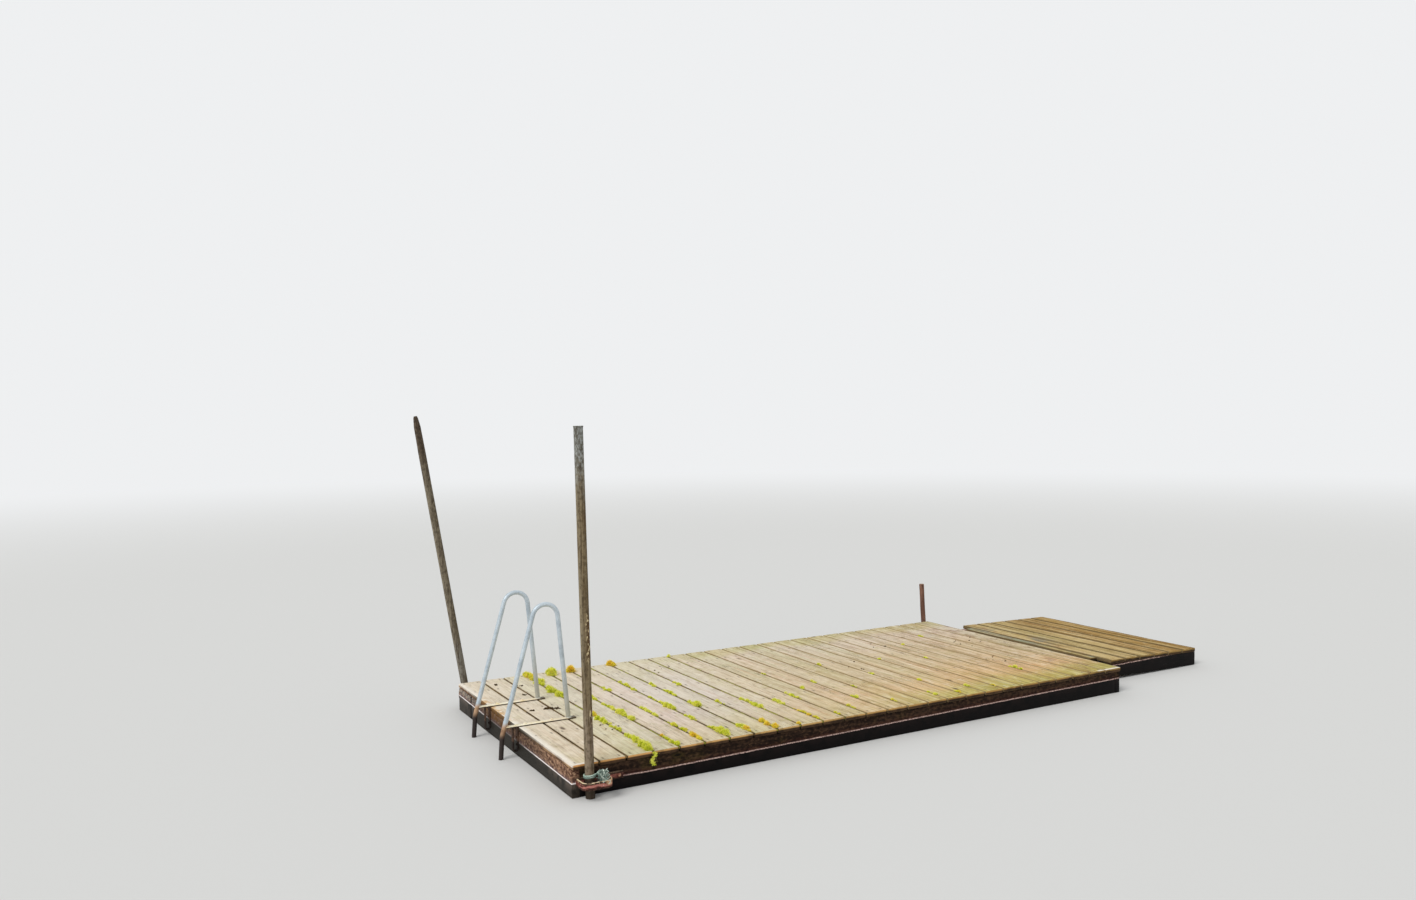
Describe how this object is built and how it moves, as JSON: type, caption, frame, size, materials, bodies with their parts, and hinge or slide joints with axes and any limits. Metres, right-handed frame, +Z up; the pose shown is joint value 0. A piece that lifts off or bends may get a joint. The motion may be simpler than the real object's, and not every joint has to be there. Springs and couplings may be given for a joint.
{
  "type": "wooden jetty",
  "caption": "Low floating timber jetty with a boarded deck, a hooped bathing ladder, leaning steel and wooden mooring poles in guides and a narrower sloping landing section.",
  "frame": {"origin": "on the centreline of the floating section, in the middle of the underside of its shore end beam", "axes": "+X along the jetty to the bank, -Y to the side of the near pole, +Z up"},
  "size_m": [5.3717, 2.184, 1.9422],
  "materials": {
    "deck_boards": "weathered grey-beige softwood boards, with algae in the grain",
    "wet_timber": "dark, wet softwood beams with a pale water line",
    "float_foam": "stained closed-cell foam",
    "galvanised_tube": "dull galvanised steel",
    "flat_bar": "stained galvanised flat bar",
    "rusty_steel": "rusty steel",
    "pole_grey": "mottled, lichen-grey galvanised pipe",
    "pole_dark": "dark weathered round pole",
    "rope": "frayed laid rope",
    "stake_wood": "weathered round stake"
  },
  "bodies": {
    "root": {"side_beam_near": "wet_timber", "side_beam_far": "wet_timber", "lake_end_beam": "wet_timber", "lake_end_stub": "wet_timber", "shore_end_beam": "wet_timber", "bearer_near": "wet_timber", "bearer_mid": "wet_timber", "bearer_far": "wet_timber", "float_lake_near": "float_foam", "float_lake_mid": "float_foam", "float_lake_far": "float_foam", "float_shore_near": "float_foam", "float_shore_mid": "float_foam", "float_shore_far": "float_foam", "deck_boards_lake": "deck_boards", "deck_boards_lake_mid": "deck_boards", "deck_boards_shore_mid": "deck_boards", "deck_boards_shore": "deck_boards", "ladder_rail_near": "galvanised_tube", "ladder_rail_far": "galvanised_tube", "ladder_bar_near": "flat_bar", "ladder_bar_far": "flat_bar", "ladder_hanger_near": "rusty_steel", "ladder_hanger_far": "rusty_steel", "mooring_pole_near": "pole_grey", "mooring_pole_far": "pole_dark", "pole_cap_near": "galvanised_tube", "pole_guide_near": "rusty_steel", "pole_guide_far": "rusty_steel", "rope_lashing": "rope", "shore_stake": "stake_wood", "landing_stringer_near": "wet_timber", "landing_stringer_mid_near": "wet_timber", "landing_stringer_mid_far": "wet_timber", "landing_stringer_far": "wet_timber", "landing_boards": "deck_boards", "seam_cover_board": "deck_boards"}
  },
  "joints": []
}
